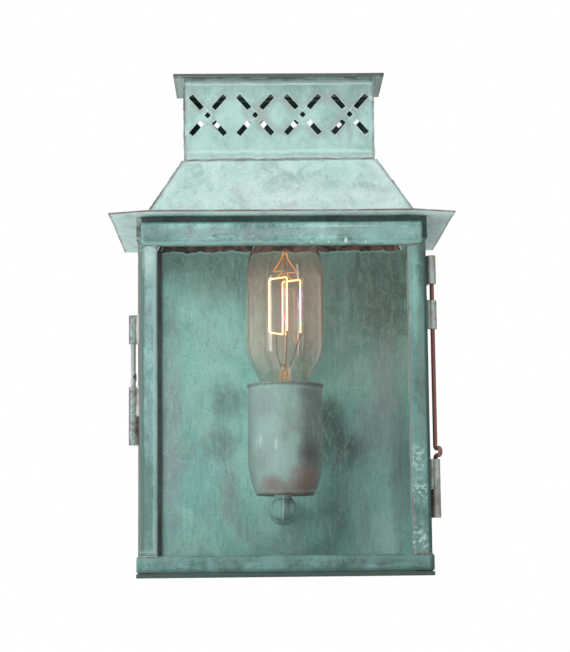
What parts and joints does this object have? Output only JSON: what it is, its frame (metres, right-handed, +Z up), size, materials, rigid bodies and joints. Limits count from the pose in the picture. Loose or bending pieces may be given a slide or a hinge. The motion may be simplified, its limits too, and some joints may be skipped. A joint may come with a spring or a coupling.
{
  "type": "wall lantern",
  "caption": "Rectangular wall lantern in verdigris brass with a hinged glazed door, wire latch, hood, pierced chimney and a lamp on a ball elbow.",
  "frame": {"origin": "on the wall plane, on the axis of the arm's cable way", "axes": "+X to the right of a viewer who faces the lantern, +Y into the wall, +Z up"},
  "size_m": [0.25, 0.165, 0.39],
  "materials": {
    "verdigris_sheet": "verdigris patina, pale",
    "verdigris_frame": "verdigris patina, darker",
    "verdigris_turned": "verdigris patina, worn",
    "copper_wire": "bare darkened copper alloy",
    "pane_glass": "clear",
    "lamp_glass": "clear",
    "porcelain": "glazed, opaque",
    "lamp_cap": "plain",
    "lamp_wire": "glowing when lit"
  },
  "bodies": {
    "lantern": {"arm_nut": "verdigris_turned", "arm_rose": "verdigris_turned", "back_plate": "verdigris_sheet", "ball_elbow": "verdigris_turned", "base_pan": "verdigris_frame", "bulb_cap": "lamp_cap", "bulb_filament": "lamp_wire", "bulb_glass": "lamp_glass", "bulb_stem": "lamp_glass", "bulb_supports": "lamp_wire", "chimney_back": "verdigris_sheet", "chimney_cap": "verdigris_sheet", "chimney_front": "verdigris_sheet", "chimney_left": "verdigris_sheet", "chimney_right": "verdigris_sheet", "collar": "verdigris_frame", "glass_left": "pane_glass", "glass_right": "pane_glass", "glass_tabs_left": "verdigris_turned", "glass_tabs_right": "verdigris_turned", "holder_contact": "verdigris_turned", "holder_cup": "verdigris_turned", "holder_insulator": "porcelain", "holder_nipple": "verdigris_turned", "holder_nut": "verdigris_turned", "holder_shell": "verdigris_turned", "knuckle_body_low": "verdigris_turned", "knuckle_body_top": "verdigris_turned", "lamp_arm": "verdigris_turned", "latch_keeper": "verdigris_turned", "post_front_left": "verdigris_frame", "post_front_right": "verdigris_frame", "post_rear_left": "verdigris_frame", "post_rear_right": "verdigris_frame", "rail_side_bottom_left": "verdigris_frame", "rail_side_bottom_right": "verdigris_frame", "rail_side_top_left": "verdigris_frame", "rail_side_top_right": "verdigris_frame", "roof_front": "verdigris_sheet", "roof_left": "verdigris_sheet", "roof_right": "verdigris_sheet"},
    "door": {"door_rail_top": "verdigris_frame", "door_rail_bottom": "verdigris_frame", "door_stile_left": "verdigris_frame", "door_stile_right": "verdigris_frame", "door_glass": "pane_glass", "door_glass_tabs": "verdigris_turned", "knuckle_door_top": "verdigris_turned", "knuckle_door_low": "verdigris_turned", "hinge_pin": "copper_wire", "latch_guide_top": "verdigris_turned", "latch_guide_low": "verdigris_turned"},
    "bolt": {"latch_bolt": "copper_wire"}
  },
  "joints": [
    {"name": "door_hinge", "type": "hinge", "parent": "lantern", "child": "door", "pos_m": [0.1081, -0.1462, 0], "axis": [0, 0, 1], "range_deg": [0, 160]},
    {"name": "latch_slide", "type": "slide", "parent": "door", "child": "bolt", "axis": [0, 0, 1], "range_m": [-0.0035, 0.018]}
  ]
}
